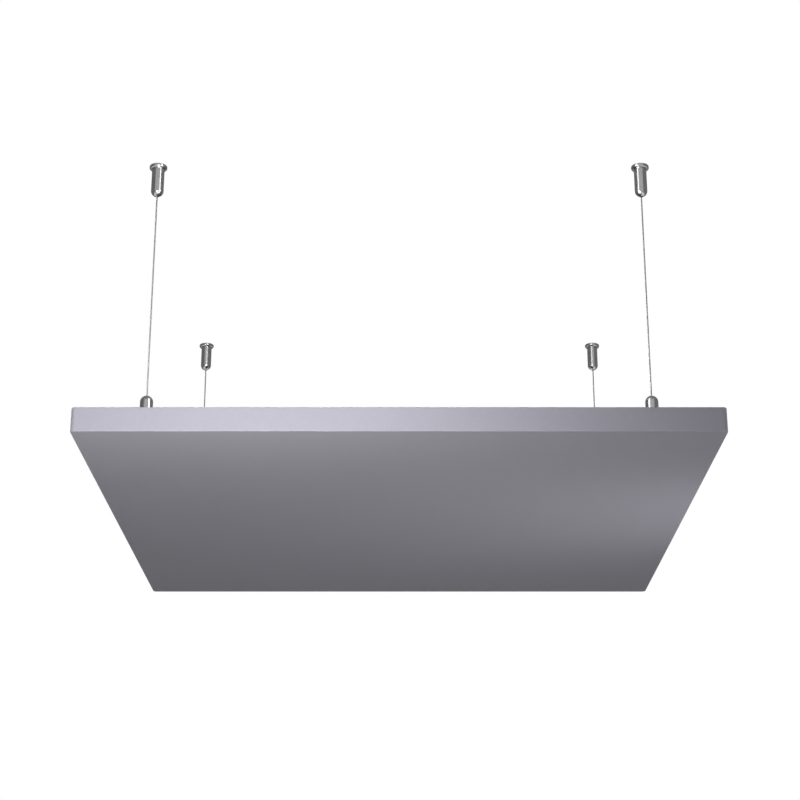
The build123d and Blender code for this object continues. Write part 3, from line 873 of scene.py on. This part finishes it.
def tube(line, radius, sides, first_index):
    """Points and faces of a closed round tube along a line."""
    firsts, seconds = frames_along(line)
    angles = np.arange(sides) * 2 * math.pi / sides
    rings = (
        line[:, None]
        + radius * np.cos(angles)[None, :, None] * firsts[:, None]
        + radius * np.sin(angles)[None, :, None] * seconds[:, None]
    )
    points = rings.reshape(-1, 3)
    faces = []
    for row in range(len(line) - 1):
        for side in range(sides):
            a = first_index + row * sides + side
            b = first_index + row * sides + (side + 1) % sides
            faces.append((a, b, b + sides, a + sides))
    end = first_index + (len(line) - 1) * sides
    faces.append(tuple(range(first_index + sides - 1, first_index - 1, -1)))
    faces.append(tuple(range(end, end + sides)))
    return points, faces


def wire_rope(name, route, material):
    """A laid rope along a route: a straight core with six strands wound round it."""
    line, stops = evenly_spaced(spline_points(route), ROPE_LAY / ROPE_STEPS_PER_TURN)
    firsts, seconds = frames_along(line)
    points, faces = tube(line, STRAND_RADIUS, STRAND_SIDES, 0)
    points = list(points)
    for strand in range(STRANDS):
        angles = 2 * math.pi * (strand / STRANDS + stops / ROPE_LAY)
        wound = line + STRAND_CENTRE * (
            np.cos(angles)[:, None] * firsts + np.sin(angles)[:, None] * seconds
        )
        more_points, more_faces = tube(wound, STRAND_RADIUS, STRAND_SIDES, len(points))
        points += list(more_points)
        faces += more_faces
    rope = make_piece(name, points, faces, material)
    return rope, line


def add_wires(material):
    """Each suspension wire and its spare end."""
    for corner, (sx, sy) in FIXINGS.items():
        x = sx * FIXING
        y = sy * FIXING
        rope, line = wire_rope(f"rope_{corner}", [(x, y, WIRE_TOP), (x, y, WIRE_END)], material)
        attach(rope, f"wire_{corner}")
        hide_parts(f"wire_{corner}")
        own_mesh(rope)
        route = [(x - sx * distance, y, height) for distance, height in TAIL_ROUTE]
        tail, line = wire_rope(f"rope_end_{corner}", route, material)
        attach(tail, "panel")
        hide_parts(f"wire_tail_{corner}")


# Assembly


def paint_cad_nodes(finishes):
    """Gives each CAD node the finish of its material slot."""
    for part in frame["record"]["subparts"]:
        node = frame["nodes"][part["node"]]
        finish = finishes[part["material_slot"]]
        if part["material_slot"] == "frame_wood":
            finish = finish["x" if part["node"].endswith(("front", "rear")) else "y"]
        node.data.materials.clear()
        node.data.materials.append(finish)


def add_soft_parts(finishes):
    cover = fabric_cover(finishes["cover_fabric"])
    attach(cover, "panel")
    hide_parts("fabric_cover")

    felt = back_felt(finishes["back_felt"])
    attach(felt, "panel")
    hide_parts("back_felt")

    fleece = face_fleece(finishes["fleece"])
    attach(fleece, "panel")
    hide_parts("face_fleece")

    core = absorber(finishes["absorber"])
    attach(core, "panel")
    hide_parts("absorber_core")


# Studio


def flat_corners(half, height):
    """The corners of a level square round the origin."""
    return [(x * half, y * half, height) for x, y in ((-1, -1), (1, -1), (1, 1), (-1, 1))]


def make_floor():
    """A floor far below the panel, paler to the eye than the light that it gives back."""
    graph = Graph("floor")
    path = graph.node("ShaderNodeLightPath").outputs
    seen = graph.math("MAXIMUM", path["Is Camera Ray"], path["Is Glossy Ray"])
    graph.feed(graph.shader.inputs["Emission Strength"], graph.between(seen, 0.0, FLOOR_GLOW))
    grey = (FLOOR_GREY, FLOOR_GREY, FLOOR_GREY, 1)
    graph.finish({"Base Color": grey, "Roughness": 0.9, "Emission Color": (1, 1, 1, 1)})
    corners = flat_corners(FLOOR_HALF, FLOOR_HEIGHT)
    floor = make_piece("floor", corners, [(0, 1, 2, 3)], graph.material, smooth=False)


def make_world(strength):
    """Soft light all round, with a white background for the camera and for reflections."""
    world = bpy.data.worlds.new("studio")
    world.use_nodes = True
    bpy.context.scene.world = world
    tree = world.node_tree
    background = tree.nodes["Background"]
    path = tree.nodes.new("ShaderNodeLightPath")
    seen = path.outputs["Is Camera Ray"]
    for ray in ("Is Glossy Ray", "Is Transmission Ray"):
        either = tree.nodes.new("ShaderNodeMath")
        either.operation = "MAXIMUM"
        tree.links.new(seen, either.inputs[0])
        tree.links.new(path.outputs[ray], either.inputs[1])
        seen = either.outputs[0]
    level = tree.nodes.new("ShaderNodeMapRange")
    level.inputs["To Min"].default_value = strength
    level.inputs["To Max"].default_value = 1.0
    tree.links.new(seen, level.inputs["Value"])
    tree.links.new(level.outputs[0], background.inputs["Strength"])
    background.inputs["Color"].default_value = (1, 1, 1, 1)


def aim(lamp, target):
    lamp.rotation_euler = (Vector(target) - lamp.location).to_track_quat("-Z", "Y").to_euler()


def make_spot(name, place, target, power, cone_deg, size, colour=(1, 1, 1)):
    """A spot lamp whose light fades evenly from the middle of its cone."""
    data = bpy.data.lights.new(name, "SPOT")
    data.energy = power
    data.color = colour
    data.spot_size = math.radians(cone_deg)
    data.spot_blend = 1.0
    data.shadow_soft_size = size
    lamp = bpy.data.objects.new(name, data)
    lamp.location = place
    bpy.context.scene.collection.objects.link(lamp)
    aim(lamp, target)
    lamp.visible_camera = False
    return lamp


def make_area(name, place, target, power, size, colour=(1, 1, 1)):
    data = bpy.data.lights.new(name, "AREA")
    data.energy = power
    data.color = colour
    data.size = size
    lamp = bpy.data.objects.new(name, data)
    lamp.location = place
    bpy.context.scene.collection.objects.link(lamp)
    aim(lamp, target)
    lamp.visible_camera = False
    lamp.visible_glossy = False
    return lamp


def glowing(name, strength):
    """A plain white glow of a given strength."""
    graph = Graph(name)
    constants = {"Base Color": (0, 0, 0, 1), "Specular IOR Level": 0.0, "Emission Color": (1, 1, 1, 1)}
    return graph.finish({**constants, "Emission Strength": strength})


def make_card(name, points, faces, strength):
    """A card that only reflections see."""
    card = make_piece(name, points, faces, glowing(name, strength), smooth=False)
    card.visible_camera = False
    card.visible_diffuse = False
    card.visible_shadow = False
    card.visible_transmission = False


def make_ring_card(name, start_deg, end_deg, strength, radius=2.4, low=-1.8, high=1.6):
    """A curved upright card round the part. Degrees run from +X to +Y."""
    steps = 24
    points = []
    for step in range(steps + 1):
        angle = math.radians(start_deg + (end_deg - start_deg) * step / steps)
        for height in (low, high):
            points.append((radius * math.cos(angle), radius * math.sin(angle), height))
    faces = [(2 * i, 2 * i + 2, 2 * i + 3, 2 * i + 1) for i in range(steps)]
    make_card(name, points, faces, strength)


def make_strip(name, centre, width, low, high, strength):
    """An upright bright strip in front of the part."""
    x, y = centre
    left, right = x - width / 2, x + width / 2
    points = [(left, y, low), (right, y, low), (right, y, high), (left, y, high)]
    make_card(name, points, [(0, 1, 2, 3)], strength)


def make_lights():
    make_world(0.2)
    make_spot("key", (-0.15, -0.72, -0.405), (-0.15, -0.3, -0.29), 10.6, 122, 0.08)
    make_spot("low_right", (0.6, -0.1, -0.6), (0.25, -0.03, -0.3), 2.9, 48, 0.08)
    make_area("low_front", (0.6, -0.6, -0.8), (0.18, -0.18, -0.3), 1.2, 0.7)
    make_area("overhead", (0.3, 0.4, 2.2), (0, 0, -0.28), 40, 1.6)
    make_area("side_left", (-2.0, 0.5, 0.5), (-0.3, 0.1, -0.2), 14, 0.9)
    make_area("side_right", (2.0, 0.5, 0.5), (0.3, 0.1, -0.2), 10, 0.9)
    make_area("side_rear", (-0.3, 2.2, 0.5), (0, 0.3, -0.2), 16, 0.9)
    make_ring_card("card_left", 115, 232, 0.2)
    make_ring_card("card_front", 232, 308, 0.62)
    make_ring_card("card_right", -52, 65, 0.22)
    make_ring_card("card_rear", 65, 115, 0.3)
    make_ring_card("streak_rear", 82, 98, 1.4, 2.3, -0.6, 1.4)
    make_card("card_above", flat_corners(2.5, 1.6), [(0, 1, 2, 3)], 0.28)
    make_strip("strip_low", (0.0, -0.42), 0.11, -0.32, 0.0, 7.0)
    make_strip("strip_high", (0.0, -0.42), 0.11, 0.0, 0.3, 3.2)


def make_finishes():
    """One finish for each of the record's material slots."""
    rope = metal("rope_steel", (0.42, 0.42, 0.42), (0.56, 0.56, 0.56), (0.28, 0.42), 2500, 0.00001)
    balls = metal("polished_steel", (0.55, 0.55, 0.56), (0.66, 0.66, 0.67), (0.12, 0.24), 1600, 0.00001)
    screws = metal("zinc_steel", (0.52, 0.52, 0.50), (0.66, 0.66, 0.64), (0.25, 0.45), 1200, 0.00003)
    brass = metal("brass", (0.62, 0.44, 0.16), (0.76, 0.58, 0.26), (0.2, 0.36), 1000, 0.00003)
    return {
        "cover_fabric": cover_cloth(),
        "fleece": needle_felt("white_fleece", (0.62, 0.62, 0.60), (0.84, 0.84, 0.82), 900),
        "absorber": absorber_wool(),
        "back_felt": needle_felt("black_felt", (0.010, 0.010, 0.011), (0.045, 0.045, 0.050), 1500),
        "frame_wood": {"x": spruce("spruce_x", "x"), "y": spruce("spruce_y", "y")},
        "fitting_nickel": nickel(),
        "wire_steel": rope,
        "ball_steel": balls,
        "screw_steel": screws,
        "seat_nylon": nylon(),
        "insert_brass": brass,
    }


def main():
    make_camera()
    finishes = make_finishes()
    paint_cad_nodes(finishes)
    add_wires(finishes["wire_steel"])
    add_soft_parts(finishes)
    make_floor()
    make_lights()
    bpy.context.scene.view_settings.view_transform = "Standard"


main()
